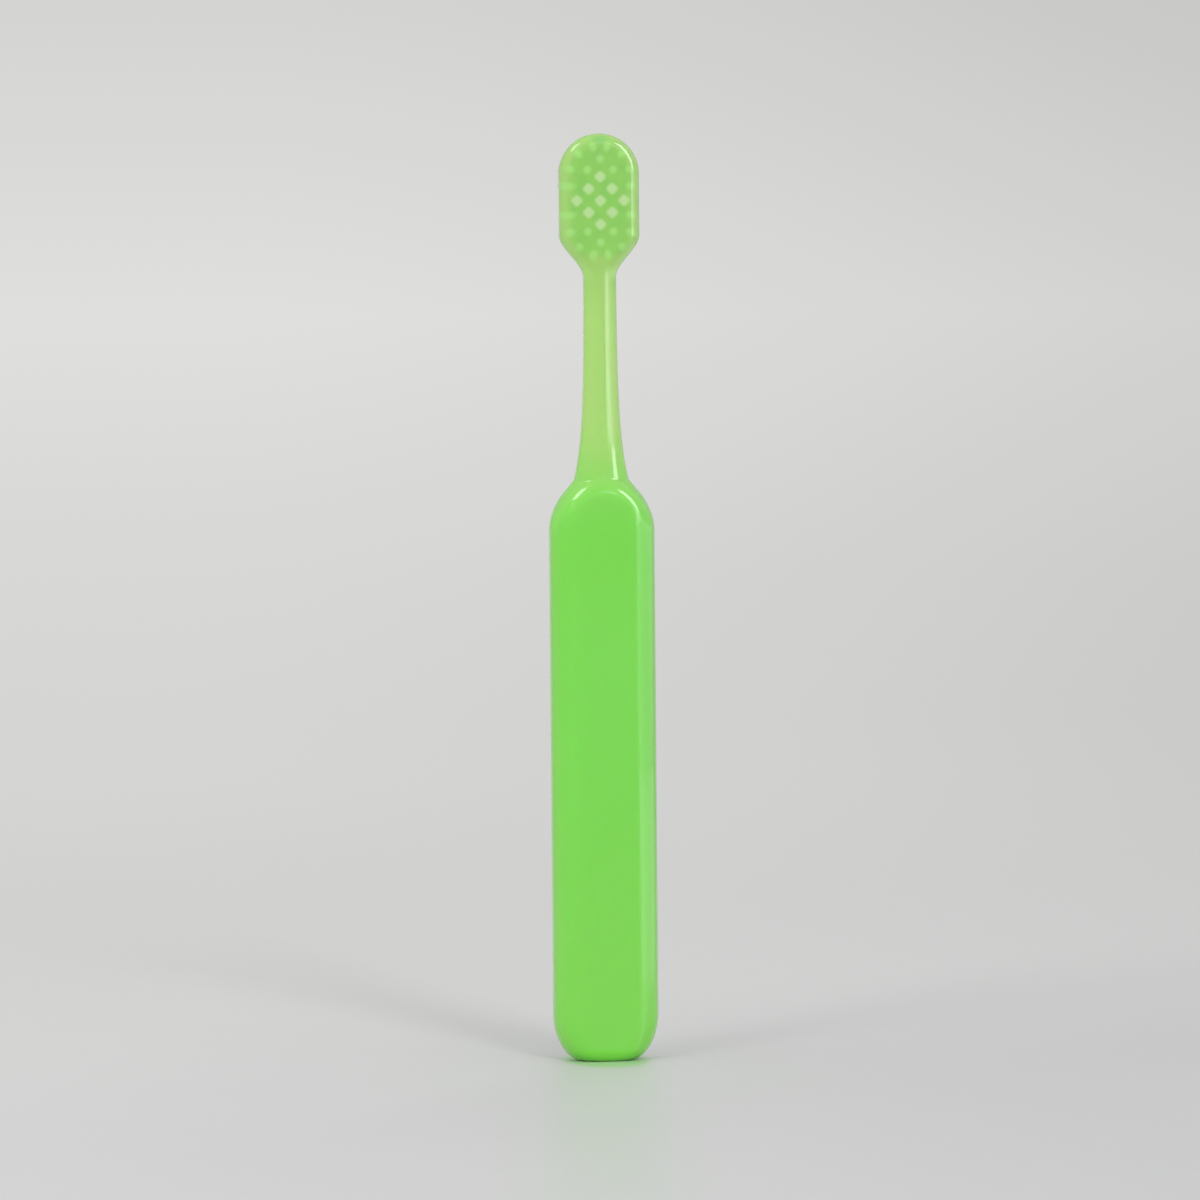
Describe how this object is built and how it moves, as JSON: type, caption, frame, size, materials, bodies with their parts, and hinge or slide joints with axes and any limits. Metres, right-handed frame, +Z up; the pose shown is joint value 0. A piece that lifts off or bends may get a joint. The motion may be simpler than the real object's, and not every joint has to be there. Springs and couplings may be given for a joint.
{
  "type": "manual toothbrush",
  "caption": "Manual toothbrush with a flat round-ended handle, a slim neck and an oval head set with round and diamond-shaped bristle tufts.",
  "frame": {"origin": "centre of the flat face under the foot of the handle", "axes": "+Z up the brush from the foot to the head, +Y the way the bristles point, +X across the width"},
  "size_m": [0.0206, 0.0174, 0.18],
  "materials": {
    "green_plastic": "translucent, glossy",
    "white_filament": "white nylon filament",
    "clear_filament": "clear green-tinted nylon filament"
  },
  "bodies": {
    "root": {"moulding": "green_plastic", "core_tuft_1": "white_filament", "core_tuft_2": "white_filament", "core_tuft_3": "white_filament", "core_tuft_4": "white_filament", "core_tuft_5": "white_filament", "core_tuft_6": "white_filament", "core_tuft_7": "white_filament", "core_tuft_8": "white_filament", "core_tuft_9": "white_filament", "inner_tuft_1": "clear_filament", "inner_tuft_2": "clear_filament", "inner_tuft_3": "clear_filament", "inner_tuft_4": "clear_filament", "inner_tuft_5": "clear_filament", "inner_tuft_6": "clear_filament", "outer_tuft_1": "clear_filament", "outer_tuft_2": "clear_filament", "outer_tuft_3": "clear_filament", "outer_tuft_4": "clear_filament", "outer_tuft_5": "clear_filament", "outer_tuft_6": "clear_filament", "outer_tuft_7": "clear_filament", "outer_tuft_8": "clear_filament", "outer_tuft_9": "clear_filament", "outer_tuft_10": "clear_filament", "outer_tuft_11": "clear_filament", "outer_tuft_12": "clear_filament", "outer_tuft_13": "clear_filament", "outer_tuft_14": "clear_filament", "outer_tuft_15": "clear_filament", "outer_tuft_16": "clear_filament"}
  },
  "joints": []
}
